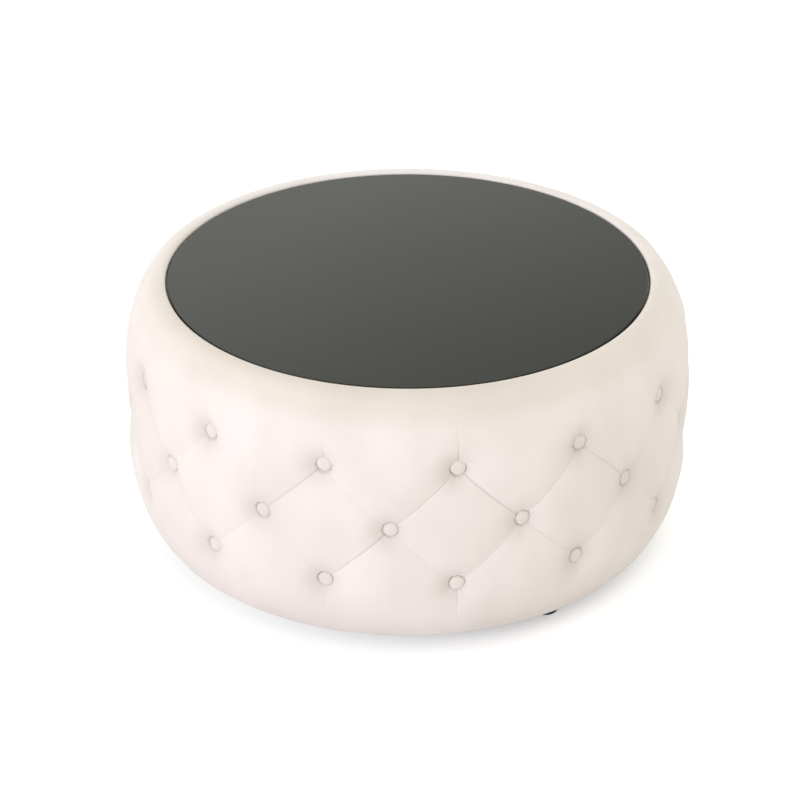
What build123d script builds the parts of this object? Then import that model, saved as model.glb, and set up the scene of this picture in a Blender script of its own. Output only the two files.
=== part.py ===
"""Round ottoman coffee table: a tufted drum on a timber frame, with a loose glass top.

Millimetres and degrees. The origin is on the floor, on the drum's axis, +Z is up and -Y is the front.
An azimuth is counted from the front towards +X.
"""
from build123d import *
from math import cos, radians, sin, sqrt
import os

os.makedirs("parts", exist_ok=True)

# Overall size
overall_diameter = 762.0
overall_height = 368.3

# Feet and underside
foot_height = 20.0
foot_diameter = 38.0
foot_sides = 24
foot_inset = 15.3
foot_count = 4
screw_shank = 4.0
screw_head = 9.0
screw_head_height = 2.6
screw_sides = 12
screw_recess_depth = 5.0
screw_recess_diameter = 11.0
screw_bite = 12.0
screw_hole = 4.6
dust_cover_thickness = 0.8
dust_cover_inset = 18.0
hem_thickness = 2.4
hem_turn_in = 50.0

# Timber frame
wall_inset = 43.0
wall_thickness = 3.0
wall_joint_gap = 1.0
wall_joint_post = 3
base_thickness = 15.0
deck_thickness = 12.0
post_count = 8
post_depth = 30.0
post_width = 40.0
brace_width = 20.0
brace_height = 40.0
fitting_clearance = 0.2

# Glass top and the recess that it lies in
glass_thickness = 5.0
glass_edge_bevel = 1.0
glass_side_gap = 2.5
glass_drop = 2.8
pad_count = 8
pad_height = 2.5
pad_width = 12.0
pad_inset = 33.5

# Padding
foam_thickness = 18.0

# Outline of the drum, inwards from its widest and from the rim's crest
rim_crest_inset = 54.0
recess_inset = 6.0
rim_roll_radius = 26.0
rim_roll_end = 38.5
recess_bevel_drop = 2.5
shoulder_inset = 4.0
hem_roll_radius = 9.0
hem_roll_end = 38.5
hem_inset = 38.0
shoulder_start = 4.0
skirt_start = 2.0
rim_bevels = 3
flank_bevels = 2
hem_bevels = 2

# Tufting
tufts_round = 14
tuft_azimuth = 9.47
middle_row_share = 0.5308
row_spacing_share = 0.2254
fold_depth = 11.5
seat_depth = 3.5
puff_crown_offset = 10.0
puff_crown_rise = 0.5
button_diameter = 20.0
button_height = 5.5
button_edge_drop = 3.0
button_edge_inset = 4.0
button_sides = 12
seat_sides = 8
button_clearance = 0.3

# Heights and radii that follow from the sizes above
overrun = 20.0
belly_radius = overall_diameter / 2
wall_radius = belly_radius - wall_inset
rim_crest_radius = belly_radius - rim_crest_inset
hem_ground_radius = belly_radius - hem_inset
dust_cover_radius = hem_ground_radius - dust_cover_inset
foot_circle_radius = dust_cover_radius - foot_inset
hem_bottom = foot_height + dust_cover_thickness
base_bottom = hem_bottom + hem_thickness
base_top = base_bottom + base_thickness
glass_top_height = overall_height - glass_drop
glass_bottom = glass_top_height - glass_thickness
deck_top = glass_bottom - pad_height
deck_bottom = deck_top - deck_thickness
panel_radius = wall_radius - wall_thickness
recess_radius = rim_crest_radius - recess_inset
glass_radius = recess_radius - glass_side_gap
pad_circle_radius = glass_radius - pad_inset
foam_radius = wall_radius + foam_thickness
hem_inner_radius = hem_ground_radius - hem_turn_in
half_pitch = 180.0 / tufts_round
frame_azimuth = tuft_azimuth + 2 * half_pitch
wall_joint_azimuth = frame_azimuth + wall_joint_post * 360 / post_count
middle_row_height = overall_height * middle_row_share
row_spacing = overall_height * row_spacing_share
upper_row_height = middle_row_height + row_spacing
lower_row_height = middle_row_height - row_spacing


def at(azimuth, radius, height):
    """A point from its azimuth, its distance from the axis and its height."""
    return Vector(radius * sin(radians(azimuth)), -radius * cos(radians(azimuth)), height)


def outward(azimuth):
    """The direction straight out from the axis."""
    return at(azimuth, 1, 0)


def level(height, azimuth):
    """A level plane whose x axis points out at an azimuth."""
    return Plane(origin=(0, 0, height), x_dir=outward(azimuth), z_dir=(0, 0, 1))


def spots(start, radius, height, count):
    """Points spaced evenly round the axis."""
    return [at(start + index * 360 / count, radius, height) for index in range(count)]


def on_arc(centre, radius, angle):
    """A point of a circle in an outline of radius and height."""
    return centre + Vector(radius * cos(radians(angle)), radius * sin(radians(angle)))


def bend(centre, radius, start, end, bevels):
    """Points along a round stretch of an outline, which is made as a few flat bevels."""
    return [on_arc(centre, radius, start + (end - start) * step / bevels) for step in range(bevels + 1)]


# Outline of the drum in radius and height: rim roll, shoulder, belly and hem roll
rim_centre = Vector(rim_crest_radius, overall_height - rim_roll_radius)
rim_end = on_arc(rim_centre, rim_roll_radius, rim_roll_end)
shoulder_reach = belly_radius - shoulder_inset
shoulder_arc = (shoulder_reach - rim_end.X) / (1 - cos(radians(rim_roll_end)))
shoulder_centre = on_arc(rim_end, -shoulder_arc, rim_roll_end)
recess_corner = Vector(recess_radius, overall_height - recess_bevel_drop)
hem_centre = Vector(hem_ground_radius, hem_bottom + hem_roll_radius)
hem_end = on_arc(hem_centre, hem_roll_radius, -hem_roll_end)
skirt_arc = (belly_radius - hem_end.X) / (1 - cos(radians(hem_roll_end)))
skirt_centre = on_arc(hem_end, -skirt_arc, -hem_roll_end)
shoulder_foot = on_arc(shoulder_centre, shoulder_arc, shoulder_start)
skirt_head = on_arc(skirt_centre, skirt_arc, -skirt_start)


def shoulder_radius(height):
    """The outline's radius above the belly, where the shoulder rolls in."""
    rise = max(height - shoulder_centre.Y, 0)
    return shoulder_centre.X + sqrt(shoulder_arc**2 - rise**2)


def skirt_radius(height):
    """The outline's radius below the belly, where the skirt rolls in."""
    drop = max(skirt_centre.Y - height, 0)
    return skirt_centre.X + sqrt(skirt_arc**2 - drop**2)


# Ends of the folds: the buttons of the three rows, and where the pleats run out at rim and hem
upper_fold = at(0, shoulder_radius(upper_row_height) - fold_depth, upper_row_height)
middle_fold = at(half_pitch, belly_radius - fold_depth, middle_row_height)
lower_fold = at(0, skirt_radius(lower_row_height) - fold_depth, lower_row_height)
rim_fold = at(0, rim_end.X, rim_end.Y)
hem_fold = at(0, hem_end.X, hem_end.Y)
upper_crown_height = upper_row_height - puff_crown_offset
lower_crown_height = lower_row_height + puff_crown_offset
middle_crown = at(0, belly_radius, middle_row_height)
upper_crown = at(half_pitch, shoulder_radius(upper_crown_height) + puff_crown_rise, upper_crown_height)
lower_crown = at(half_pitch, skirt_radius(lower_crown_height) + puff_crown_rise, lower_crown_height)


def flank(crown, azimuth, fold_start, fold_end):
    """Plane and radius of a round flank that lies along a fold and rises to the puff's crown."""
    along = (fold_end - fold_start).normalized()
    out = outward(azimuth)
    out = (out - along * out.dot(along)).normalized()
    across = crown - fold_start
    across = across - along * across.dot(along)
    radius = across.dot(across) / (2 * across.dot(out))
    return Plane(origin=crown - out * radius, z_dir=along), radius


def puff(crown, azimuth, folds):
    """A crowned puff over a group of folds: the space that its round flanks share."""
    with BuildPart() as pillow:
        for index, fold in enumerate(folds):
            plane, radius = flank(crown, azimuth, *fold)
            with BuildSketch(plane):
                Circle(radius)
            extrude(amount=overall_height, both=True, mode=Mode.INTERSECT if index else Mode.ADD)
    return pillow.part


# Puffs of half a tuft pitch, from a button of the outer rows to the next one of the middle row
puffs = [
    puff(middle_crown, 0, [(upper_fold, middle_fold), (lower_fold, middle_fold)]),
    puff(upper_crown, half_pitch, [(upper_fold, middle_fold), (upper_fold, rim_fold)]),
    puff(lower_crown, half_pitch, [(lower_fold, middle_fold), (lower_fold, hem_fold)]),
]
with BuildPart() as padding:
    with BuildSketch(Plane.XY):
        Circle(foam_radius)
    extrude(amount=overall_height + overrun)
    add(puffs)

with BuildPart() as tuft:
    with BuildSketch(Plane.XY):
        with BuildLine():
            inner = [at(angle, hem_inner_radius - overrun, 0) for angle in (0, half_pitch)]
            outer = [at(angle, belly_radius + overrun, 0) for angle in (0, half_pitch)]
            Polyline(inner[0], outer[0], outer[1], inner[1], close=True)
        make_face()
    extrude(amount=overall_height + overrun)
    add(padding.part, mode=Mode.INTERSECT)
    mirror(about=Plane.YZ)

with BuildPart() as tuft_ring:
    with PolarLocations(0, tufts_round, start_angle=tuft_azimuth):
        add(tuft.part)

# Button seats, a row at a time: azimuth of the first, height and radius
seat_drop = fold_depth + seat_depth
button_rows = [
    (tuft_azimuth, upper_row_height, shoulder_radius(upper_row_height) - seat_drop),
    (tuft_azimuth + half_pitch, middle_row_height, belly_radius - seat_drop),
    (tuft_azimuth, lower_row_height, skirt_radius(lower_row_height) - seat_drop),
]


def stitches(start, height, seat):
    """The planes that a row's buttons are sewn down on."""
    azimuths = [start + index * 2 * half_pitch for index in range(tufts_round)]
    return [
        Plane(origin=at(azimuth, seat, height), x_dir=(0, 0, 1), z_dir=outward(azimuth))
        for azimuth in azimuths
    ]


# Cover: the sewn skin and its padding, which roll over the rim into the recess and turn in under the base
with BuildPart() as tufted_cover:
    with BuildSketch(Plane.XZ):
        with BuildLine():
            Polyline(
                (recess_radius, deck_top),
                recess_corner,
                *bend(rim_centre, rim_roll_radius, 90, rim_roll_end, rim_bevels),
                *bend(shoulder_centre, shoulder_arc, rim_roll_end, shoulder_start, flank_bevels)[1:],
                (belly_radius + overrun, shoulder_foot.Y),
                (belly_radius + overrun, skirt_head.Y),
                *bend(skirt_centre, skirt_arc, -skirt_start, -hem_roll_end, flank_bevels)[:-1],
                *bend(hem_centre, hem_roll_radius, -hem_roll_end, -90, hem_bevels),
                (hem_inner_radius, hem_bottom),
                (hem_inner_radius, base_bottom),
                (wall_radius, base_bottom),
                (wall_radius, deck_top),
                close=True,
            )
        make_face()
    revolve(axis=Axis.Z)
    add(tuft_ring.part, mode=Mode.INTERSECT)
    for row in button_rows:
        for stitch in stitches(*row):
            with BuildSketch(stitch):
                RegularPolygon(button_diameter / 2 + button_clearance, seat_sides, major_radius=False)
    extrude(amount=seat_drop + overrun, mode=Mode.SUBTRACT)
    with BuildSketch(Plane.XY.offset(hem_bottom)):
        with Locations(*spots(frame_azimuth, foot_circle_radius, 0, foot_count)):
            RegularPolygon(screw_hole / 2, screw_sides)
    extrude(amount=hem_thickness, mode=Mode.SUBTRACT)
tufted_cover.part.label = "tufted_cover"
export_step(tufted_cover.part, "parts/tufted_cover.step")

# Covered buttons, a row at a time
with BuildPart() as button:
    with BuildSketch(Plane.XY):
        RegularPolygon(button_diameter / 2, button_sides)
    extrude(amount=button_height)
    chamfer(button.edges().group_by(Axis.Z)[-1], length=button_edge_drop, length2=button_edge_inset)
for name, row in zip(("upper", "middle", "lower"), button_rows):
    with BuildPart() as buttons:
        with Locations(*stitches(*row)):
            add(button.part)
    buttons.part.label = f"buttons_{name}"
    export_step(buttons.part, f"parts/buttons_{name}.step")

# Round panels: the base, and the deck under the glass
with BuildPart() as base_panel:
    with BuildSketch(Plane.XY.offset(base_bottom)):
        Circle(panel_radius)
    extrude(amount=base_thickness)
    for spot in spots(frame_azimuth, foot_circle_radius, base_bottom, foot_count):
        with BuildSketch(Plane(origin=spot)):
            RegularPolygon(screw_shank / 2, screw_sides)
    extrude(amount=screw_bite, mode=Mode.SUBTRACT)
base_panel.part.label = "base_panel"
export_step(base_panel.part, "parts/base_panel.step")

with BuildPart() as deck_panel:
    with BuildSketch(Plane.XY.offset(deck_bottom)):
        Circle(panel_radius)
    extrude(amount=deck_thickness)
deck_panel.part.label = "deck_panel"
export_step(deck_panel.part, "parts/deck_panel.step")

# Bent wall board in two half rounds, with their joints in front of posts
for side, azimuth in (("left", wall_joint_azimuth), ("right", wall_joint_azimuth + 180)):
    with BuildPart() as wall:
        with BuildSketch(level(base_bottom, azimuth)):
            Circle(wall_radius)
            Circle(panel_radius, mode=Mode.SUBTRACT)
            with Locations((0, wall_joint_gap / 2)):
                Rectangle(
                    2 * wall_radius,
                    wall_radius,
                    align=(Align.CENTER, Align.MIN),
                    mode=Mode.INTERSECT,
                )
        extrude(amount=deck_top - base_bottom)
    wall.part.label = f"wall_{side}"
    export_step(wall.part, f"parts/wall_{side}.step")

# Posts between base and deck, just inside the wall
post_outer = sqrt((panel_radius - fitting_clearance) ** 2 - (post_width / 2) ** 2)
post_inner = post_outer - post_depth
for index in range(post_count):
    azimuth = frame_azimuth + index * 360 / post_count
    with BuildPart() as post:
        with BuildSketch(level(base_top, azimuth)):
            with Locations((post_inner, 0)):
                Rectangle(post_depth, post_width, align=(Align.MIN, Align.CENTER))
        extrude(amount=deck_bottom - base_top)
    post.part.label = f"post_{index + 1}"
    export_step(post.part, f"parts/post_{index + 1}.step")

# Two braces under the deck, half-lapped where they cross, from post to post
for index, notch_height in enumerate((deck_bottom, deck_bottom - brace_height)):
    azimuth = frame_azimuth + index * 90
    with BuildPart() as brace:
        with BuildSketch(level(deck_bottom - brace_height, azimuth)):
            Rectangle(2 * post_inner, brace_width)
        extrude(amount=brace_height)
        with BuildSketch(level(notch_height, azimuth)):
            Rectangle(brace_width + 2 * fitting_clearance, brace_width)
        extrude(amount=brace_height / 2, both=True, mode=Mode.SUBTRACT)
    brace.part.label = f"brace_{index + 1}"
    export_step(brace.part, f"parts/brace_{index + 1}.step")

# Dust cover under the base
with BuildPart() as dust_cover:
    with BuildSketch(Plane.XY.offset(foot_height)):
        Circle(dust_cover_radius)
        with Locations(*spots(frame_azimuth, foot_circle_radius, 0, foot_count)):
            RegularPolygon(screw_hole / 2, screw_sides, mode=Mode.SUBTRACT)
    extrude(amount=dust_cover_thickness)
dust_cover.part.label = "dust_cover"
export_step(dust_cover.part, "parts/dust_cover.step")

# Feet, each on one screw whose head sits up inside the sole
for index, spot in enumerate(spots(frame_azimuth, foot_circle_radius, 0, foot_count)):
    with BuildPart() as foot:
        with BuildSketch(Plane(origin=spot)):
            RegularPolygon(foot_diameter / 2, foot_sides)
            RegularPolygon(screw_hole / 2, screw_sides, mode=Mode.SUBTRACT)
        extrude(amount=foot_height)
        with BuildSketch(Plane(origin=spot)):
            RegularPolygon(screw_recess_diameter / 2, screw_sides)
        extrude(amount=screw_recess_depth, mode=Mode.SUBTRACT)
    foot.part.label = f"foot_{index + 1}"
    export_step(foot.part, f"parts/foot_{index + 1}.step")

with BuildPart() as foot_screws:
    for spot in spots(frame_azimuth, foot_circle_radius, screw_recess_depth, foot_count):
        with BuildSketch(Plane(origin=spot)):
            RegularPolygon(screw_head / 2, screw_sides)
        extrude(amount=-screw_head_height)
        with BuildSketch(Plane(origin=spot)):
            RegularPolygon(screw_shank / 2, screw_sides)
        extrude(amount=base_bottom + screw_bite - screw_recess_depth)
foot_screws.part.label = "foot_screws"
export_step(foot_screws.part, "parts/foot_screws.step")

# Clear pads on the deck, and the loose glass top on them
with BuildPart() as glass_pads:
    with BuildSketch(Plane.XY.offset(deck_top)):
        with PolarLocations(pad_circle_radius, pad_count, start_angle=tuft_azimuth):
            Rectangle(pad_width, pad_width)
    extrude(amount=pad_height)
glass_pads.part.label = "glass_pads"
export_step(glass_pads.part, "parts/glass_pads.step")

with BuildPart() as glass_top:
    with BuildSketch(Plane.XY.offset(glass_bottom)):
        Circle(glass_radius)
    extrude(amount=glass_thickness)
    chamfer(glass_top.edges().group_by(Axis.Z)[-1], length=glass_edge_bevel)
glass_top.part.label = "glass_top"
export_step(glass_top.part, "parts/glass_top.step")
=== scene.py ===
"""Round ottoman coffee table: a diamond-tufted velvet drum with a black glass top in its recess.

Metres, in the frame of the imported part: floor at z = 0, the drum's axis on Z, front towards -Y.
An azimuth is counted from the front towards +X. Outlines are in radius and height.
"""
import bmesh
import bpy
import numpy as np
from math import cos, pi, radians, sin
from mathutils import Matrix, Vector


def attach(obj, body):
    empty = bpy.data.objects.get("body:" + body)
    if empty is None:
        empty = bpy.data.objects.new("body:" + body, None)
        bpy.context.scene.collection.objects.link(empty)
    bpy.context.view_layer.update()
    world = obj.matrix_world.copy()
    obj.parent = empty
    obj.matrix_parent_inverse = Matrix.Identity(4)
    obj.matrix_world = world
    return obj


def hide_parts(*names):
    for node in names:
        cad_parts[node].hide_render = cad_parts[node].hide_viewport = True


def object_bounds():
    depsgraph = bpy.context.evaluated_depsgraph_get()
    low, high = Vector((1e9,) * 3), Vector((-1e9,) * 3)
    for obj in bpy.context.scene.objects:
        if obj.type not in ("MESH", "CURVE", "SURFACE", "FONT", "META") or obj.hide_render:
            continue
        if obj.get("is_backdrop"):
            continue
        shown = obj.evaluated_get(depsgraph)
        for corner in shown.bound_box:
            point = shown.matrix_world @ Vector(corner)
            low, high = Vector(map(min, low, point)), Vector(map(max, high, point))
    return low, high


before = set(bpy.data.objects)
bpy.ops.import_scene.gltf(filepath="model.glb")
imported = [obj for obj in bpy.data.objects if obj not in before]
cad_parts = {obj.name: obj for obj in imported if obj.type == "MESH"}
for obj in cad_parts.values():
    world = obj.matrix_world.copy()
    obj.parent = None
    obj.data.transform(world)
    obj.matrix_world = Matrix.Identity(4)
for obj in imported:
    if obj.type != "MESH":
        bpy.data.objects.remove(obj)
cad_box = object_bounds()
MM = 0.001
random = np.random.default_rng(14)

# Camera: a long lens that looks down at the drum from the front
TARGET = Vector((-0.0103, 0, 0.1695))
CAMERA_DISTANCE = 3.150
CAMERA_ELEVATION = radians(29.4)
CAMERA_LENS = 103.5
CAMERA_SENSOR = 36
CAMERA_CLIP_END = 50
camera = bpy.data.objects.new("camera", bpy.data.cameras.new("camera"))
camera.data.lens = CAMERA_LENS
camera.data.sensor_width = CAMERA_SENSOR
camera.data.clip_end = CAMERA_CLIP_END
away = Vector((0, -cos(CAMERA_ELEVATION), sin(CAMERA_ELEVATION)))
camera.location = TARGET + CAMERA_DISTANCE * away
camera.rotation_euler = (pi / 2 - CAMERA_ELEVATION, 0, 0)
bpy.context.collection.objects.link(camera)
bpy.context.scene.camera = camera
bpy.context.scene.view_settings.view_transform = "Standard"

# Tufting, as in the part
TUFTS_ROUND = 14
HALF_PITCH = pi / TUFTS_ROUND
TUFT_AZIMUTH = radians(9.47)
HEIGHT = 368.3 * MM
MIDDLE_ROW = 0.5308 * HEIGHT
ROW_SPACING = 0.2254 * HEIGHT
UPPER_ROW = MIDDLE_ROW + ROW_SPACING
LOWER_ROW = MIDDLE_ROW - ROW_SPACING
BUTTON_ROWS = (
    ("upper", TUFT_AZIMUTH, UPPER_ROW),
    ("middle", TUFT_AZIMUTH + HALF_PITCH, MIDDLE_ROW),
    ("lower", TUFT_AZIMUTH, LOWER_ROW),
)

# Outline of the drum
BELLY_RADIUS = 381 * MM
BELLY_HEIGHT = 185 * MM
RIM_CREST_RADIUS = 327 * MM
RIM_ROLL = 26 * MM
RIM_ROLL_END = radians(38.5)
RECESS_RADIUS = 321 * MM
RECESS_ROLL = 5 * MM
HEM_RADIUS = 343 * MM
HEM_ROLL = 9 * MM
HEM_ROLL_END = radians(38.5)
HEM_BOTTOM = 20.8 * MM
HEM_INNER_RADIUS = 293 * MM
HEM_TOP = 23.2 * MM
WALL_RADIUS = 338 * MM
DECK_TOP = 358 * MM
SHOULDER_POWER = 3.6
SKIRT_POWER = 3.68

# Underside and glass pads
FOOT_AZIMUTH = TUFT_AZIMUTH + 2 * HALF_PITCH
FOOT_CIRCLE_RADIUS = 309.7 * MM
FOOT_HEIGHT = 20 * MM
FOOT_COUNT = 4
SCREW_SEAT = 5 * MM
DUST_CLOTH_RADIUS = 325 * MM
DUST_CLOTH_THICKNESS = 0.8 * MM
PAD_COUNT = 8
PAD_CIRCLE_RADIUS = 285 * MM


def at(azimuth, radius, height):
    """A point from its azimuth, its distance from the axis and its height."""
    return Vector((radius * sin(azimuth), -radius * cos(azimuth), height))


def outward(azimuth):
    """The turn that points a piece's own Z straight out from the axis."""
    return Matrix.Rotation(azimuth, 3, "Z") @ Matrix.Rotation(pi / 2, 3, "X")


def mesh_piece(name, points, faces, material, weld=1e-6, painted_shade=None):
    """An object from points and faces, with its seams welded.

    If given, the last argument says how much shade is painted into the colour at each point.
    """
    made = bmesh.new()
    layer = None if painted_shade is None else made.verts.layers.float.new("painted_shade")
    vertices = [made.verts.new(point) for point in points]
    if painted_shade is not None:
        for vertex, value in zip(vertices, painted_shade):
            vertex[layer] = value
    for face in faces:
        made.faces.new([vertices[index] for index in face])
    bmesh.ops.remove_doubles(made, verts=made.verts, dist=weld)
    bmesh.ops.dissolve_degenerate(made, edges=made.edges, dist=weld)
    bmesh.ops.recalc_face_normals(made, faces=made.faces)
    mesh = bpy.data.meshes.new(name)
    made.to_mesh(mesh)
    made.free()
    mesh.materials.append(material)
    mesh.shade_smooth()
    return bpy.data.objects.new(name, mesh)


def place(piece, replaced=()):
    """Puts a finished piece into the scene on the base."""
    bpy.context.collection.objects.link(piece)
    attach(piece, "base")
    if replaced:
        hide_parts(*replaced)
    return piece


def grid_faces(rows, columns):
    """Quads between the rows of a grid whose columns go round."""
    row, column = np.meshgrid(np.arange(rows - 1), np.arange(columns), indexing="ij")
    start = (row * columns + column).ravel()
    side = (row * columns + (column + 1) % columns).ravel()
    return np.stack([start, side, side + columns, start + columns], axis=1)


def lathe(outline, steps, origin, turn=Matrix.Identity(3)):
    """Points and faces of an outline in millimetres, spun about Z, then turned and moved."""
    angles = np.arange(steps) * 2 * pi / steps
    points = [
        turn @ Vector((radius * MM * cos(angle), radius * MM * sin(angle), height * MM)) + origin
        for radius, height in outline
        for angle in angles
    ]
    return points, grid_faces(len(outline), steps)


def joined(parts):
    """Points and faces of several meshes as one."""
    points, faces = [], []
    for part_points, part_faces in parts:
        faces.extend(tuple(index + len(points) for index in face) for face in part_faces)
        points.extend(part_points)
    return points, faces


# Materials
def material(name, colour, roughness):
    """A new principled material and its shader node."""
    made = bpy.data.materials.new(name)
    made.use_nodes = True
    shader = made.node_tree.nodes["Principled BSDF"]
    shader.inputs["Base Color"].default_value = (*colour, 1)
    shader.inputs["Roughness"].default_value = roughness
    return made, shader


def noise(made, scale, detail=2.0, stretch=(1, 1, 1)):
    """Noise over the object's own coordinates."""
    nodes, links = made.node_tree.nodes, made.node_tree.links
    coordinates = nodes.new("ShaderNodeTexCoord")
    mapping = nodes.new("ShaderNodeMapping")
    mapping.inputs["Scale"].default_value = stretch
    texture = nodes.new("ShaderNodeTexNoise")
    texture.inputs["Scale"].default_value = scale
    texture.inputs["Detail"].default_value = detail
    links.new(coordinates.outputs["Object"], mapping.inputs["Vector"])
    links.new(mapping.outputs["Vector"], texture.inputs["Vector"])
    return texture


def tint(made, shader, texture, dark, light, span=(0.35, 0.65)):
    """Varies the base colour between two tones by a texture."""
    ramp = made.node_tree.nodes.new("ShaderNodeValToRGB")
    for element, position, colour in zip(ramp.color_ramp.elements, span, (dark, light)):
        element.position = position
        element.color = (*colour, 1)
    made.node_tree.links.new(texture.outputs["Fac"], ramp.inputs["Fac"])
    made.node_tree.links.new(ramp.outputs["Color"], shader.inputs["Base Color"])


def bump(made, shader, texture, distance, strength=1.0):
    """Roughens the surface by a texture."""
    node = made.node_tree.nodes.new("ShaderNodeBump")
    node.inputs["Strength"].default_value = strength
    node.inputs["Distance"].default_value = distance
    made.node_tree.links.new(texture.outputs["Fac"], node.inputs["Height"])
    made.node_tree.links.new(node.outputs["Normal"], shader.inputs["Normal"])


def remap(tree, value, span=(0, 1), result=(0, 1)):
    """A new node that takes a value from one span to another."""
    node = tree.nodes.new("ShaderNodeMapRange")
    sockets = ("From Min", "From Max", "To Min", "To Max")
    for socket, number in zip(sockets, (*span, *result)):
        node.inputs[socket].default_value = number
    tree.links.new(value, node.inputs["Value"])
    return node


def own_axes(tree):
    """X, Y and Z of each point in the object's own coordinates."""
    coordinates = tree.nodes.new("ShaderNodeTexCoord")
    axes = tree.nodes.new("ShaderNodeSeparateXYZ")
    tree.links.new(coordinates.outputs["Object"], axes.inputs["Vector"])
    return axes.outputs


def roughen(made, shader, texture, low, high):
    """Varies the roughness by a texture."""
    tree = made.node_tree
    spread = remap(tree, texture.outputs["Fac"], result=(low, high))
    tree.links.new(spread.outputs["Result"], shader.inputs["Roughness"])


def shade_base(made, shader, share):
    """Multiplies the base colour by a shade, by the share given, and returns the shade's socket."""
    tree = made.node_tree
    shaded = tree.nodes.new("ShaderNodeMix")
    shaded.data_type = "RGBA"
    shaded.blend_type = "MULTIPLY"
    source = shader.inputs["Base Color"].links[0].from_socket
    tree.links.new(share, shaded.inputs["Factor"])
    tree.links.new(source, shaded.inputs["A"])
    tree.links.new(shaded.outputs["Result"], shader.inputs["Base Color"])
    return shaded.inputs["B"]


def paint_rim_shade_and_sheen(made, shader):
    """Paints shade into the base colour over the rim at the front, darker and yellower, and a
    painted sheen at the back, blended from front to back.
    """
    tree = made.node_tree
    axes = own_axes(tree)
    share = remap(tree, axes["Z"], RIM_PAINT_SPAN)
    share.interpolation_type = "SMOOTHSTEP"
    depth = remap(tree, axes["Y"], (-RIM_CREST_RADIUS, RIM_CREST_RADIUS))
    shade = tree.nodes.new("ShaderNodeMix")
    shade.data_type = "RGBA"
    shade.inputs["A"].default_value = (*RIM_FRONT_PAINTED_SHADE, 1)
    shade.inputs["B"].default_value = (*RIM_BACK_PAINTED_SHEEN, 1)
    tree.links.new(depth.outputs["Result"], shade.inputs["Factor"])
    tree.links.new(shade.outputs["Result"], shade_base(made, shader, share.outputs["Result"]))


def paint_button_shade(made, shader):
    """Paints shade into the base colour in the dimples beside and under the buttons, and on the
    buttons' faces.
    """
    painted_shade = made.node_tree.nodes.new("ShaderNodeAttribute")
    painted_shade.attribute_name = "painted_shade"
    shade_base(made, shader, painted_shade.outputs["Fac"]).default_value = (*BUTTON_PAINTED_SHADE, 1)


VELVET_COLOUR = (0.84, 0.765, 0.725)
VELVET_DARK = (0.815, 0.738, 0.696)
VELVET_LIGHT = (0.865, 0.790, 0.755)
VELVET_SHEEN = (1.0, 0.96, 0.93, 1)
# Painted shade and sheen on the rim: the heights over which they are painted, then the painted
# shade in front and the painted sheen behind
RIM_PAINT_SPAN = (324 * MM, 356 * MM)
RIM_FRONT_PAINTED_SHADE = (0.93, 0.925, 0.865)
RIM_BACK_PAINTED_SHEEN = (1.05, 1.085, 1.10)
# Painted shade in the buttons' dimples
BUTTON_PAINTED_SHADE = (0.85, 0.85, 0.84)
GLASS_COLOUR = (0.009, 0.012, 0.007)
GLASS_DARK = (0.008, 0.011, 0.006)
GLASS_LIGHT = (0.010, 0.013, 0.008)
ROUGHNESS_SPREAD = 0.06


def make_velvet():
    made, shader = material("cream_velvet", VELVET_COLOUR, roughness=0.9)
    mottle = noise(made, scale=11, detail=3, stretch=(1, 1, 0.6))
    tint(made, shader, mottle, VELVET_DARK, VELVET_LIGHT)
    # Painted shade and sheen on the rim, and painted shade beside and under the buttons
    paint_rim_shade_and_sheen(made, shader)
    paint_button_shade(made, shader)
    bump(made, shader, noise(made, scale=1100), distance=0.2 * MM, strength=0.4)
    shader.inputs["Specular IOR Level"].default_value = 0.15
    shader.inputs["Sheen Weight"].default_value = 0.35
    shader.inputs["Sheen Roughness"].default_value = 0.4
    shader.inputs["Sheen Tint"].default_value = VELVET_SHEEN
    return made


def make_black_glass():
    made, shader = material("black_glass", GLASS_COLOUR, roughness=0.03)
    tint(made, shader, noise(made, scale=5), GLASS_DARK, GLASS_LIGHT)
    roughen(made, shader, noise(made, scale=14, detail=3), low=0.015, high=0.035)
    shader.inputs["IOR"].default_value = 1.5
    return made


def make_wood(name, dark, light, stretch):
    made, shader = material(name, light, roughness=0.65)
    tint(made, shader, noise(made, scale=12, detail=6, stretch=stretch), dark, light)
    bump(made, shader, noise(made, scale=60, detail=4, stretch=stretch), distance=0.3 * MM)
    return made


def make_plain(name, dark, light, roughness, metal=0.0, grain=400):
    made, shader = material(name, light, roughness)
    low, high = roughness - ROUGHNESS_SPREAD, roughness + ROUGHNESS_SPREAD
    tint(made, shader, noise(made, scale=grain / 8), dark, light)
    roughen(made, shader, noise(made, scale=grain / 4), low, high)
    bump(made, shader, noise(made, scale=grain), distance=0.05 * MM)
    shader.inputs["Metallic"].default_value = metal
    return made


velvet = make_velvet()
black_glass = make_black_glass()
plywood = make_wood("plywood", (0.50, 0.36, 0.21), (0.66, 0.50, 0.32), (1, 8, 1))
hardboard = make_wood("hardboard", (0.20, 0.12, 0.07), (0.28, 0.17, 0.10), (3, 3, 3))
pine = make_wood("pine", (0.62, 0.45, 0.26), (0.76, 0.59, 0.38), (1, 1, 0.1))
dust_cloth = make_plain("dust_cloth", (0.016, 0.016, 0.018), (0.028, 0.028, 0.030), 0.9, grain=1200)
black_plastic = make_plain("black_plastic", (0.012, 0.012, 0.012), (0.020, 0.020, 0.020), 0.42)
zinc = make_plain("zinc", (0.52, 0.52, 0.50), (0.66, 0.66, 0.64), 0.34, metal=1.0)
clear_rubber = make_plain("clear_rubber", (0.50, 0.50, 0.47), (0.60, 0.60, 0.57), 0.28)
NODE_MATERIALS = {
    "glass_top": black_glass,
    "base_panel": plywood,
    "deck_panel": plywood,
    "wall_left": hardboard,
    "wall_right": hardboard,
    **{name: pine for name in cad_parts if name.startswith(("post_", "brace_"))},
}
for name, made in NODE_MATERIALS.items():
    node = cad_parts[name]
    node.data.materials.clear()
    node.data.materials.append(made)


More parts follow.
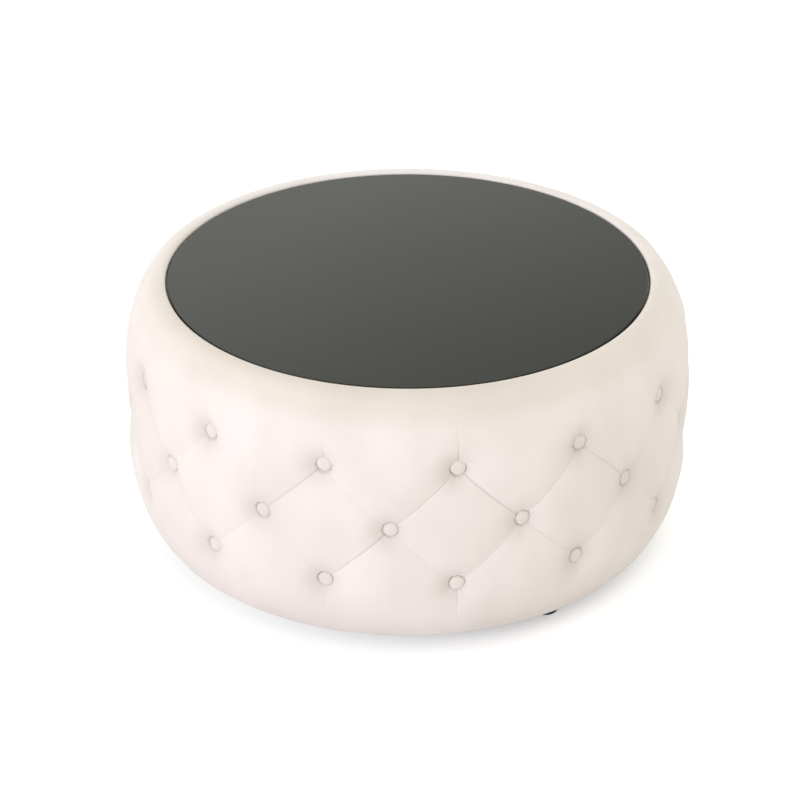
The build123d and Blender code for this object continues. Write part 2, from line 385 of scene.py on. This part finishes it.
# Cover: mesh columns to half a tuft pitch, and mesh rows to the next row of buttons
COLUMNS = 16
ROWS = 16
LIP_ROWS = 4
RIM_ROWS = 8
SHOULDER_ROWS = 15
SKIRT_ROWS = 17
HEM_ROWS = 4
FINE_STEPS = 4
FOLD_DEPTH = 4.5 * MM
FOLD_POWER = 2.5
FOLD_SPAN = 59 * MM
CREASE_DEPTH = 2.1 * MM
CREASE_WIDTH = 0.9 * MM
CREASE_FADE = 0.6
FOLD_SHARPNESS_SPAN = (0.05, 0.45)
PLEAT_SHARPNESS_SPAN = (0.3, 0.7)
PLEAT_REACH = 38 * MM
PLEAT_END = 3.0
PLEAT_ZONE = 1.7 * ROW_SPACING
BUTTON_DIMPLE = 8.6 * MM
BUTTON_DIMPLE_REACH = 20 * MM
BUTTON_DIMPLE_END = 4 * BUTTON_DIMPLE_REACH
BUTTON_DIMPLE_SPREAD = (0.8, 1.2)
GATHERS = 8
GATHER_DEPTH = 0.5 * MM
GATHER_REACH = 8 * MM
BUTTON_RADIUS = 10 * MM
BUTTON_SEAT_DEPTH = 15 * MM
SEAT_DROP = 4 * MM
SEAT_RADIUS = 11 * MM
SEAT_EDGE = 0.6 * MM
RIPPLE_OFFSET = 3
WAVE_COUNT = 24
WAVE_DEPTH = 0.12 * MM
WAVES_ROUND = (3, 40)
WAVE_PITCHES = (8, 45)
PUCKER_COUNT = 5
PUCKER_DEPTH = 0.15 * MM
PUCKERS_ROUND = (50, 130)
PUCKER_TOP = 45 * MM
PUCKER_FADE = 25 * MM
SMOOTH_TOP = HEIGHT - 1 * MM
SMOOTH_TOP_FADE = 22 * MM
SMOOTH_BOTTOM_FADE = 14 * MM
DEEPEST = 14.7 * MM
# Painted shade around the buttons: its reach, how far its middle lies left of and below each
# button, and its share on the buttons' faces
BUTTON_SHADE_REACH = 22 * MM
BUTTON_SHADE_SHIFT = (5 * MM, 3 * MM)
BUTTON_FACE_SHADE_SHARE = 0.5
# The mesh is made finer twice: how near a fold or pleat, and how near a button
REFINEMENTS = ((5 * MM, 21 * MM), (2 * MM, 13.5 * MM))
ALL_COLUMNS = 2 * COLUMNS * TUFTS_ROUND


def side_radius(height):
    """The drum's radius at the crowns of its puffs."""
    rim_height = HEIGHT - RIM_ROLL * (1 - sin(RIM_ROLL_END))
    hem_height = HEM_BOTTOM + HEM_ROLL * (1 - sin(HEM_ROLL_END))
    above = np.clip((height - BELLY_HEIGHT) / (rim_height - BELLY_HEIGHT), 0, 1)
    below = np.clip((BELLY_HEIGHT - height) / (BELLY_HEIGHT - hem_height), 0, 1)
    rim_drop = BELLY_RADIUS - RIM_CREST_RADIUS - RIM_ROLL * cos(RIM_ROLL_END)
    hem_drop = BELLY_RADIUS - HEM_RADIUS - HEM_ROLL * cos(HEM_ROLL_END)
    return BELLY_RADIUS - rim_drop * above**SHOULDER_POWER - hem_drop * below**SKIRT_POWER


def roll(centre, reach, start, end, share):
    """A point of a round stretch of the outline."""
    angle = start + (end - start) * share
    return centre[0] + reach[0] * np.cos(angle), centre[1] + reach[1] * np.sin(angle)


def side(start, end, share):
    """A point of the side of the outline."""
    height = start + (end - start) * share
    return side_radius(height), height


def straight(start, end, share):
    """A point of a straight stretch of the outline."""
    return start[0] + (end[0] - start[0]) * share, start[1] + (end[1] - start[1]) * share


def cover_outline():
    """The cover's closed outline, FINE_STEPS points to a row, and the rows of its outer face."""
    rim_centre = (RIM_CREST_RADIUS, HEIGHT - RIM_ROLL)
    rim_reach = (RIM_ROLL, RIM_ROLL)
    rim_end = rim_centre[1] + RIM_ROLL * sin(RIM_ROLL_END)
    lip_centre = (RIM_CREST_RADIUS, HEIGHT - RECESS_ROLL)
    lip_reach = (RIM_CREST_RADIUS - RECESS_RADIUS, RECESS_ROLL)
    hem_centre = (HEM_RADIUS, HEM_BOTTOM + HEM_ROLL)
    hem_reach = (HEM_ROLL, HEM_ROLL)
    hem_end = hem_centre[1] - HEM_ROLL * sin(HEM_ROLL_END)
    corners = [
        (HEM_RADIUS, HEM_BOTTOM),
        (HEM_INNER_RADIUS, HEM_BOTTOM),
        (HEM_INNER_RADIUS, HEM_TOP),
        (WALL_RADIUS, HEM_TOP),
        (WALL_RADIUS, DECK_TOP),
        (RECESS_RADIUS, DECK_TOP),
    ]
    stretches = [
        (1, lambda share: straight(corners[-1], (RECESS_RADIUS, lip_centre[1]), share)),
        (LIP_ROWS, lambda share: roll(lip_centre, lip_reach, pi, pi / 2, share)),
        (RIM_ROWS, lambda share: roll(rim_centre, rim_reach, pi / 2, RIM_ROLL_END, share)),
        (SHOULDER_ROWS, lambda share: side(rim_end, UPPER_ROW, share)),
        (2 * ROWS, lambda share: side(UPPER_ROW, LOWER_ROW, share)),
        (SKIRT_ROWS, lambda share: side(LOWER_ROW, hem_end, share)),
        (HEM_ROWS, lambda share: roll(hem_centre, hem_reach, -HEM_ROLL_END, -pi / 2, share)),
    ]
    outer = (1, sum(rows for rows, _ in stretches))
    stretches += [
        (1, lambda share, ends=ends: straight(*ends, share))
        for ends in zip(corners[:-1], corners[1:])
    ]
    points = [
        stretch(step / (rows * FINE_STEPS))
        for rows, stretch in stretches
        for step in range(rows * FINE_STEPS)
    ]
    points.append(corners[-1])
    return np.array(points), outer


OUTLINE, OUTER_ROWS = cover_outline()
OUTLINE_ROWS = np.arange(len(OUTLINE)) / FINE_STEPS
OUTLINE_SLOPE = np.gradient(OUTLINE, axis=0)
OUTLINE_SLOPE /= np.linalg.norm(OUTLINE_SLOPE, axis=1, keepdims=True)


def on_outline(values, row):
    """Values of the outline's points, read at rows of the mesh."""
    return np.interp(row, OUTLINE_ROWS, values)


def tuft_place(azimuth, height):
    """A point's place: -1 to 1 across from a column of buttons, and rows from the middle one."""
    across = ((azimuth - TUFT_AZIMUTH) / HALF_PITCH + 1) % 2 - 1
    return across, (height - MIDDLE_ROW) / ROW_SPACING


def crown(gap):
    """How far a puff has risen at a distance from its fold, both from 0 to 1."""
    return 1 - (1 - np.clip(gap, 0, 1)) ** FOLD_POWER


def crease_gap(azimuth, height):
    """The distance from the nearest fold or pleat."""
    across, up = np.abs(tuft_place(azimuth, height))
    return np.where(up > 1, across * HALF_PITCH * BELLY_RADIUS, np.abs(up + across - 1) * FOLD_SPAN)


def crease_depth(azimuth, height):
    """How deep the cloth is pinched in along folds and pleats, each with its own sharpness."""
    turn, up = (azimuth - TUFT_AZIMUTH) / HALF_PITCH, (height - MIDDLE_ROW) / ROW_SPACING
    half = (up < 0).astype(int)
    depth = np.zeros(len(turn))
    for slant, along in enumerate((turn + up, turn - up)):
        number = np.floor(along / 2)
        gap = (along - 2 * number - 1) * FOLD_SPAN
        sharpness = FOLD_SHARPNESS[slant, number.astype(int) % TUFTS_ROUND, half]
        fade = 1 - CREASE_FADE * (-up % 1) ** 2
        depth += sharpness * fade * np.exp(-((gap / CREASE_WIDTH) ** 2))
    number = np.round(turn / 2)
    gap = (turn - 2 * number) * HALF_PITCH * BELLY_RADIUS
    beyond = (np.abs(up) - 1) * ROW_SPACING / PLEAT_REACH
    sharpness = PLEAT_SHARPNESS[number.astype(int) % TUFTS_ROUND, half]
    pleat = sharpness * np.exp(-(beyond**2) - (gap / CREASE_WIDTH) ** 2)
    return CREASE_DEPTH * np.where(beyond > 0, pleat, depth)


def tuft_rise(azimuth, height):
    """How far the cover has risen from its folds, from 0 to 1 on the crowns of the puffs."""
    across, up = tuft_place(azimuth, height)
    across, up = np.abs(across), np.abs(up)
    inside = up + across <= 1
    beyond = np.clip(up - 1, 0, None)
    first = np.where(inside, 1 - up - across, up + across - 1 + PLEAT_END * beyond**2)
    second = np.where(inside, 1 - np.abs(up - across), up - across + 1)
    return crown(first) * crown(second)


def around_buttons():
    """Azimuth, height, weight and gather angle of each button's dimple."""
    for _, start, height in BUTTON_ROWS:
        for index in range(TUFTS_ROUND):
            azimuth = start + 2 * index * HALF_PITCH
            weight = random.uniform(*BUTTON_DIMPLE_SPREAD)
            yield azimuth, height, weight, random.uniform(0, 2 * pi)


BUTTON_SPOTS = list(around_buttons())
# By slant (falling or rising to the right), place from the front round, and upper or lower half
FOLD_SHARPNESS = random.uniform(*FOLD_SHARPNESS_SPAN, (2, TUFTS_ROUND, 2))
FOLD_SHARPNESS[0, 0] = (1.0, 0.45)
FOLD_SHARPNESS[0, 1] = (0.6, 0.2)
FOLD_SHARPNESS[1, 0] = (0.3, 0.1)
FOLD_SHARPNESS[1, -1] = (0.5, 0.9)
FOLD_SHARPNESS[1, -2] = (0.9, 0.2)
PLEAT_SHARPNESS = random.uniform(*PLEAT_SHARPNESS_SPAN, (TUFTS_ROUND, 2))
PLEAT_SHARPNESS[0] = (0.9, 0.9)
WAVES = [
    (random.integers(*WAVES_ROUND), random.uniform(*WAVE_PITCHES), random.uniform(0, 2 * pi))
    for _ in range(WAVE_COUNT)
]
HEM_PUCKERS = [
    (random.integers(*PUCKERS_ROUND), random.uniform(0, 2 * pi)) for _ in range(PUCKER_COUNT)
]


def button_gap(azimuth, height, spot):
    """Distances across and up from a button."""
    button_azimuth, button_height = spot[:2]
    turn = (azimuth - button_azimuth + pi) % (2 * pi) - pi
    return turn * side_radius(button_height), height - button_height


def cover_depth(azimuth, height):
    """How deep the cover lies under the smooth outline of the drum."""
    depth = FOLD_DEPTH * (1 - tuft_rise(azimuth, height)) + crease_depth(azimuth, height)
    for spot in BUTTON_SPOTS:
        weight, phase = spot[2:]
        across, above = button_gap(azimuth, height, spot)
        reach = np.hypot(across, above)
        near = reach < BUTTON_DIMPLE_END
        angle, reach = np.arctan2(above[near], across[near]), reach[near]
        gathers = np.cos(GATHERS * angle + phase)
        gathers = gathers * np.exp(-np.abs(reach - BUTTON_RADIUS) / GATHER_REACH)
        depth[near] += BUTTON_DIMPLE * weight * np.exp(-((reach / BUTTON_DIMPLE_REACH) ** 2))
        depth[near] += GATHER_DEPTH * weight * gathers
        depth[near] += SEAT_DROP * np.clip((SEAT_RADIUS - reach) / SEAT_EDGE, 0, 1)
    wave = sum(np.cos(count * azimuth + height * pitch + phase) for count, pitch, phase in WAVES)
    depth += WAVE_DEPTH * (wave + RIPPLE_OFFSET)
    puckers = sum(np.cos(count * azimuth + phase) for count, phase in HEM_PUCKERS)
    low = np.clip((PUCKER_TOP - height) / PUCKER_FADE, 0, 1)
    depth += PUCKER_DEPTH * (puckers + RIPPLE_OFFSET) * low
    top_fade = np.clip((SMOOTH_TOP - height) / SMOOTH_TOP_FADE, 0, 1)
    bottom_fade = np.clip((height - HEM_BOTTOM) / SMOOTH_BOTTOM_FADE, 0, 1)
    return np.clip(depth * (top_fade * bottom_fade), 0, DEEPEST)


def button_shade_share(azimuth, height):
    """How much shade is painted, from 0 to 1, beside and under the buttons, where their dimples are
    in shade.
    """
    painted_shade = np.zeros(len(azimuth))
    for spot in BUTTON_SPOTS:
        across, above = button_gap(azimuth, height, spot)
        reach = np.hypot(across + BUTTON_SHADE_SHIFT[0], above + BUTTON_SHADE_SHIFT[1])
        painted_shade = np.maximum(painted_shade, np.exp(-((reach / BUTTON_SHADE_REACH) ** 2)))
    return painted_shade


def near_detail(azimuth, height, fold_reach, button_reach):
    """Whether a point lies beside a fold, a pleat or a button."""
    near = crease_gap(azimuth, height) < fold_reach
    near &= np.abs(height - MIDDLE_ROW) < PLEAT_ZONE
    for spot in BUTTON_SPOTS:
        near |= np.hypot(*button_gap(azimuth, height, spot)) < button_reach
    return near


def cover_grid():
    """The cover's mesh laid flat, by column and row, with an edge along each fold."""
    rows = int(round(OUTLINE_ROWS[-1]))
    laid = bmesh.new()
    spots = [
        [laid.verts.new((column, row, 0)) for column in range(ALL_COLUMNS + 1)]
        for row in range(rows + 1)
    ]
    for row in range(rows):
        height = on_outline(OUTLINE[:, 1], row + 0.5)
        for column in range(ALL_COLUMNS):
            a, b = spots[row][column], spots[row][column + 1]
            c, d = spots[row + 1][column + 1], spots[row + 1][column]
            falls = (column // COLUMNS) % 2 == (height < MIDDLE_ROW)
            corners = ((a, b, c), (a, c, d)) if falls else ((a, b, d), (b, c, d))
            for corner in corners:
                laid.faces.new(corner)
    for reaches in REFINEMENTS:
        laid.faces.ensure_lookup_table()
        middles = np.array([face.calc_center_median()[:2] for face in laid.faces])
        azimuth = TUFT_AZIMUTH + middles[:, 0] * HALF_PITCH / COLUMNS
        near = near_detail(azimuth, on_outline(OUTLINE[:, 1], middles[:, 1]), *reaches)
        near &= (middles[:, 1] > OUTER_ROWS[0]) & (middles[:, 1] < OUTER_ROWS[1])
        edges = {edge for index in np.flatnonzero(near) for edge in laid.faces[index].edges}
        bmesh.ops.subdivide_edges(laid, edges=list(edges), cuts=1, use_grid_fill=True)
        bmesh.ops.triangulate(laid, faces=laid.faces)
    laid.verts.index_update()
    places = np.array([vertex.co[:2] for vertex in laid.verts])
    faces = [[vertex.index for vertex in face.verts] for face in laid.faces]
    laid.free()
    return places, faces


def make_cover():
    places, faces = cover_grid()
    azimuth = TUFT_AZIMUTH + places[:, 0] * HALF_PITCH / COLUMNS
    row = places[:, 1]
    radius, height = on_outline(OUTLINE[:, 0], row), on_outline(OUTLINE[:, 1], row)
    outer = (row > OUTER_ROWS[0]) & (row < OUTER_ROWS[1])
    depth = np.where(outer, cover_depth(azimuth, height), 0)
    # Shade painted beside and under the buttons
    painted_shade = button_shade_share(azimuth, height)
    radius = radius + depth * on_outline(OUTLINE_SLOPE[:, 1], row)
    height = height - depth * on_outline(OUTLINE_SLOPE[:, 0], row)
    points = np.stack([radius * np.sin(azimuth), -radius * np.cos(azimuth), height], axis=1)
    piece = mesh_piece("velvet_cover", points, faces, velvet, painted_shade=painted_shade)
    return place(piece, ["tufted_cover"])


cover = make_cover()

# Buttons: domed moulds wrapped in the same velvet, radius and height in millimetres
BUTTON_OUTLINE = (
    (0, 5.5), (3.5, 5.45), (6, 5.2), (8, 4.7), (9.2, 4),
    (9.8, 3), (10, 1.8), (9.8, 0.8), (9.3, 0), (0, 0),
)
BUTTON_STEPS = 32
BUTTON_LEAN = 3


def make_buttons(row, start, height):
    parts = []
    for index in range(TUFTS_ROUND):
        azimuth = start + 2 * index * HALF_PITCH
        origin = at(azimuth, side_radius(height) - BUTTON_SEAT_DEPTH, height)
        leans = [radians(random.uniform(-BUTTON_LEAN, BUTTON_LEAN)) for _ in range(2)]
        lean = Matrix.Rotation(leans[0], 3, "X") @ Matrix.Rotation(leans[1], 3, "Y")
        parts.append(lathe(BUTTON_OUTLINE, BUTTON_STEPS, origin, outward(azimuth) @ lean))
    points, faces = joined(parts)
    # The buttons' faces get part of the painted shade of their dimples
    painted_shade = [BUTTON_FACE_SHADE_SHARE] * len(points)
    piece = mesh_piece(f"covered_buttons_{row}", points, faces, velvet, painted_shade=painted_shade)
    place(piece, [f"buttons_{row}"])


for row in BUTTON_ROWS:
    make_buttons(*row)


# Feet: turned glides with a rounded sole, each on a cross-head screw, in millimetres
GLIDE_OUTLINE = (
    (2.3, 5), (5.5, 5), (5.5, 0.6), (6.1, 0), (16.6, 0), (17.9, 0.5), (18.5, 1.6), (18.7, 4),
    (18.9, 15), (19, 17), (19, 19.4), (18.4, 20), (2.3, 20), (2.3, 5),
)
SHANK_OUTLINE = ((4.5, 0), (2, 0), (2, -28.5), (1.4, -30), (0, -30.2))
HEAD_OUTLINE = ((4.5, 0), (4.5, 1.2), (4.2, 1.9), (3.5, 2.35), (2.7, 2.55))
HEAD_RINGS = (2.3, 1.9, 1.5, 1.1, 0.8, 0.5, 0.2, 0)
HEAD_HEIGHT = 2.6
SLOT_HALF_WIDTH = 0.45
SLOT_REACH = 2.1
SLOT_DEPTH = 1.2
GLIDE_STEPS = 64
SCREW_STEPS = 48


def screw_top(steps, origin, turn):
    """The flat of a screw's head, pressed in where the cross is."""
    edge, edge_height = HEAD_OUTLINE[-1]
    points = []
    for ring in (edge, *HEAD_RINGS):
        for step in range(steps):
            x, y = ring * cos(2 * pi * step / steps), ring * sin(2 * pi * step / steps)
            crossed = min(abs(x), abs(y)) < SLOT_HALF_WIDTH and max(abs(x), abs(y)) < SLOT_REACH
            height = HEAD_HEIGHT - SLOT_DEPTH * crossed if ring < edge else edge_height
            points.append(turn @ Vector((x, y, height)) * MM + origin)
    return points, grid_faces(len(HEAD_RINGS) + 1, steps)


screws = []
DOWN = Matrix.Rotation(pi, 3, "X")
for index in range(FOOT_COUNT):
    azimuth = FOOT_AZIMUTH + index * 2 * pi / FOOT_COUNT
    points, faces = lathe(GLIDE_OUTLINE, GLIDE_STEPS, at(azimuth, FOOT_CIRCLE_RADIUS, 0))
    glide = mesh_piece(f"glide_{index + 1}", points, faces, black_plastic)
    place(glide, [f"foot_{index + 1}"])
    seat = at(azimuth, FOOT_CIRCLE_RADIUS, SCREW_SEAT)
    turn = Matrix.Rotation(random.uniform(0, pi / 2), 3, "Z") @ DOWN
    screws += [
        lathe(SHANK_OUTLINE, SCREW_STEPS, seat, turn),
        lathe(HEAD_OUTLINE, SCREW_STEPS, seat, turn),
        screw_top(SCREW_STEPS, seat, turn),
    ]
place(mesh_piece("cross_head_screws", *joined(screws), zinc), ["foot_screws"])


# Dust cloth, stretched under the base and held by staples
CLOTH_RINGS = 26
CLOTH_COLUMNS = 144
CLOTH_CROWDING = 0.8
CLOTH_SAG = 1.4 * MM
CLOTH_PUCKER = 0.35 * MM
CLOTH_PUCKER_PLACE = 0.93
CLOTH_PUCKER_WIDTH = 0.06
CLOTH_WELD = 1e-5
STAPLE_COUNT = 36
STAPLE_CIRCLE_RADIUS = 318 * MM
STAPLE_WIDTH = 10 * MM
STAPLE_HEIGHT = 0.5 * MM
STAPLE_THICKNESS = 1.1 * MM
STAPLE_LEG = 1.5 * MM
STAPLE_BEND = 0.3
STAPLE_FLAT = 0.9
STAPLE_CLEARANCE = 0.15 * MM
STAPLE_LEAN = 7
# Round the wire, in shares of its thickness and height
STAPLE_PROFILE = (
    (-0.5, 0.2), (-0.5, 0.8), (-0.3, 1), (0.3, 1), (0.5, 0.8), (0.5, 0.2), (0.3, 0), (-0.3, 0),
)


def make_dust_cloth():
    rings = DUST_CLOTH_RADIUS * np.linspace(1, 0, CLOTH_RINGS) ** CLOTH_CROWDING
    azimuths = np.arange(CLOTH_COLUMNS) * 2 * pi / CLOTH_COLUMNS
    radius, azimuth = np.meshgrid(rings, azimuths, indexing="ij")
    share = radius / DUST_CLOTH_RADIUS
    sag = CLOTH_SAG * (1 - share**2)
    puckered = np.exp(-(((share - CLOTH_PUCKER_PLACE) / CLOTH_PUCKER_WIDTH) ** 2))
    folds = CLOTH_PUCKER * (1 + np.cos(STAPLE_COUNT * azimuth)) / 2 * puckered
    lower = FOOT_HEIGHT - sag - folds
    x, y = radius * np.sin(azimuth), -radius * np.cos(azimuth)
    sides = [
        np.stack([x, y, height], axis=2).reshape(-1, 3)
        for height in (lower, lower + DUST_CLOTH_THICKNESS)
    ]
    faces = grid_faces(CLOTH_RINGS, CLOTH_COLUMNS)
    count = len(sides[0])
    outer = np.arange(CLOTH_COLUMNS)
    after = (outer + 1) % CLOTH_COLUMNS
    edge = np.stack([outer, after, after + count, outer + count], axis=1)
    points, faces = np.concatenate(sides), np.concatenate([faces, faces + count, edge])
    return mesh_piece("dust_cloth", points, faces, dust_cloth, CLOTH_WELD)


def staple(azimuth, lean):
    """Points and faces of a staple: a flat wire across, bent up at both ends."""
    half, leg = STAPLE_WIDTH / 2, STAPLE_LEG
    bend, flat = STAPLE_BEND * leg, STAPLE_FLAT * half
    line = [(-half, leg), (-half, bend), (-flat, 0), (flat, 0), (half, bend), (half, leg)]
    height = FOOT_HEIGHT - STAPLE_HEIGHT - STAPLE_CLEARANCE
    origin = at(azimuth, STAPLE_CIRCLE_RADIUS, height)
    turn = Matrix.Rotation(azimuth + lean, 3, "Z")
    points = []
    for index, (x, z) in enumerate(line):
        before, after = line[max(index - 1, 0)], line[min(index + 1, len(line) - 1)]
        along = Vector((after[0] - before[0], 0, after[1] - before[1])).normalized()
        rise = Vector((-along.z, 0, along.x)) * STAPLE_HEIGHT
        for depth, share in STAPLE_PROFILE:
            spot = Vector((x, depth * STAPLE_THICKNESS, z)) + rise * share
            points.append(turn @ spot + origin)
    around = len(STAPLE_PROFILE)
    faces = [tuple(face) for face in grid_faces(len(line), around)]
    faces += [tuple(range(around)), tuple(range(len(points) - around, len(points)))]
    return points, faces


cloth = place(make_dust_cloth(), ["dust_cover"])
staples = []
for index in range(STAPLE_COUNT):
    lean = radians(random.uniform(-STAPLE_LEAN, STAPLE_LEAN))
    staples.append(staple(2 * pi * index / STAPLE_COUNT, lean))
place(mesh_piece("staples", *joined(staples), zinc))

# Glass pads: clear domes with a flat top, in millimetres
PAD_OUTLINE = ((0, 2.5), (2.6, 2.5), (4.2, 2.25), (5.3, 1.6), (5.9, 0.7), (6, 0), (0, 0))
PAD_STEPS = 32
pads = []
for index in range(PAD_COUNT):
    azimuth = TUFT_AZIMUTH + 2 * pi * index / PAD_COUNT
    pads.append(lathe(PAD_OUTLINE, PAD_STEPS, at(azimuth, PAD_CIRCLE_RADIUS, DECK_TOP)))
place(mesh_piece("clear_pads", *joined(pads), clear_rubber), ["glass_pads"])

# Floor, key light and surroundings: to the camera, the floor is white with the drum's shadow
HORIZON_LIGHT = 1.25
ZENITH_LIGHT = 0.5
RIGHT_LIGHT = 0.25
BACK_LIGHT = 0.4
LIGHT_COLOUR = (1, 1, 0.955, 1)
# Reflections: the direction in which they fade, where the fade starts and ends, and its strengths
MIRRORED_SLOPE = (1.8, 0, 3.4)
MIRRORED_SPAN = (1.35, 2)
MIRRORED_LIGHT = (1.04, 0.39)
FLOOR_HALF_WIDTH = 6
FLOOR_DROP = 0.3 * MM
FLOOR_COLOUR = 0.74
# The floor as the camera sees it, from the left end of the span to the right: it glows more on the
# left, a painted light that weakens the drum's shadow there
SEEN_FLOOR_SPAN = (-0.22, 0.16)
SEEN_FLOOR_COLOUR = (0.3, 0.95)
SEEN_FLOOR_GLOW = (0.79, 0.32)
KEY_AZIMUTH = radians(-48)
KEY_ELEVATION = radians(14)
KEY_STRENGTH = 1.325
KEY_COLOUR = (0.862, 0.848, 1.0)
KEY_SOFTNESS = radians(38)


def seen_floor(tree, usual, seen):
    """A value of the floor, which to the camera goes from one figure on the left to another."""
    across = remap(tree, own_axes(tree)["X"], SEEN_FLOOR_SPAN, seen)
    path = tree.nodes.new("ShaderNodeLightPath")
    choice = remap(tree, path.outputs["Is Camera Ray"], result=(usual, usual))
    tree.links.new(across.outputs["Result"], choice.inputs["To Max"])
    return choice.outputs["Result"]


def make_floor():
    far = FLOOR_HALF_WIDTH
    corners = [(-far, -far, 0), (far, -far, 0), (far, far, 0), (-far, far, 0)]
    made, shader = material("floor_white", (FLOOR_COLOUR,) * 3, roughness=0.9)
    tree = made.node_tree
    colour = seen_floor(tree, FLOOR_COLOUR, SEEN_FLOOR_COLOUR)
    glow = seen_floor(tree, 0, SEEN_FLOOR_GLOW)
    shader.inputs["Specular IOR Level"].default_value = 0
    shader.inputs["Emission Color"].default_value = (1, 1, 1, 1)
    tree.links.new(colour, shader.inputs["Base Color"])
    tree.links.new(glow, shader.inputs["Emission Strength"])
    floor = mesh_piece("floor", corners, [(0, 1, 2, 3)], made)
    floor.location.z = -FLOOR_DROP
    bpy.context.collection.objects.link(floor)
    floor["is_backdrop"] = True


def make_world():
    """Surroundings that are white to the camera and have other strengths for all else.

    As light, they fade overhead and gain to the right and the back.
    """
    world = bpy.data.worlds.new("white")
    world.use_nodes = True
    tree = world.node_tree
    nodes, links = tree.nodes, tree.links
    coordinates = nodes.new("ShaderNodeTexCoord")
    slope = nodes.new("ShaderNodeVectorMath")
    slope.operation = "DOT_PRODUCT"
    slope.inputs[1].default_value = MIRRORED_SLOPE
    links.new(coordinates.outputs["Generated"], slope.inputs[0])
    fall = remap(tree, slope.outputs["Value"], MIRRORED_SPAN, MIRRORED_LIGHT)
    path = nodes.new("ShaderNodeLightPath")
    towards = nodes.new("ShaderNodeSeparateXYZ")
    links.new(coordinates.outputs["Generated"], towards.inputs["Vector"])
    upper = remap(tree, towards.outputs["Z"], result=(HORIZON_LIGHT, ZENITH_LIGHT))
    light = upper.outputs["Result"]
    for axis, gain in (("X", RIGHT_LIGHT), ("Y", BACK_LIGHT)):
        share = remap(tree, towards.outputs[axis], result=(0, gain))
        total = nodes.new("ShaderNodeMath")
        links.new(light, total.inputs[0])
        links.new(share.outputs["Result"], total.inputs[1])
        light = total.outputs["Value"]
    reflected = nodes.new("ShaderNodeMix")
    links.new(light, reflected.inputs["A"])
    links.new(path.outputs["Is Glossy Ray"], reflected.inputs["Factor"])
    links.new(fall.outputs["Result"], reflected.inputs["B"])
    seen = nodes.new("ShaderNodeMix")
    seen.inputs["B"].default_value = 1
    links.new(path.outputs["Is Camera Ray"], seen.inputs["Factor"])
    links.new(reflected.outputs["Result"], seen.inputs["A"])
    links.new(seen.outputs["Result"], nodes["Background"].inputs["Strength"])
    colour = nodes.new("ShaderNodeMix")
    colour.data_type = "RGBA"
    colour.inputs["A"].default_value = LIGHT_COLOUR
    colour.inputs["B"].default_value = (1, 1, 1, 1)
    links.new(path.outputs["Is Camera Ray"], colour.inputs["Factor"])
    links.new(colour.outputs["Result"], nodes["Background"].inputs["Color"])
    bpy.context.scene.world = world


def make_key():
    data = bpy.data.lights.new("key", "SUN")
    data.energy = KEY_STRENGTH
    data.angle = KEY_SOFTNESS
    data.color = KEY_COLOUR
    key = bpy.data.objects.new("key", data)
    towards = at(KEY_AZIMUTH, cos(KEY_ELEVATION), sin(KEY_ELEVATION))
    key.rotation_euler = (-towards).to_track_quat("-Z", "Y").to_euler()
    bpy.context.collection.objects.link(key)


make_floor()
make_world()
make_key()

boxes = {"cad": cad_box, "visual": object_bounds()}
{name: [list(corner) for corner in box] for name, box in boxes.items()}
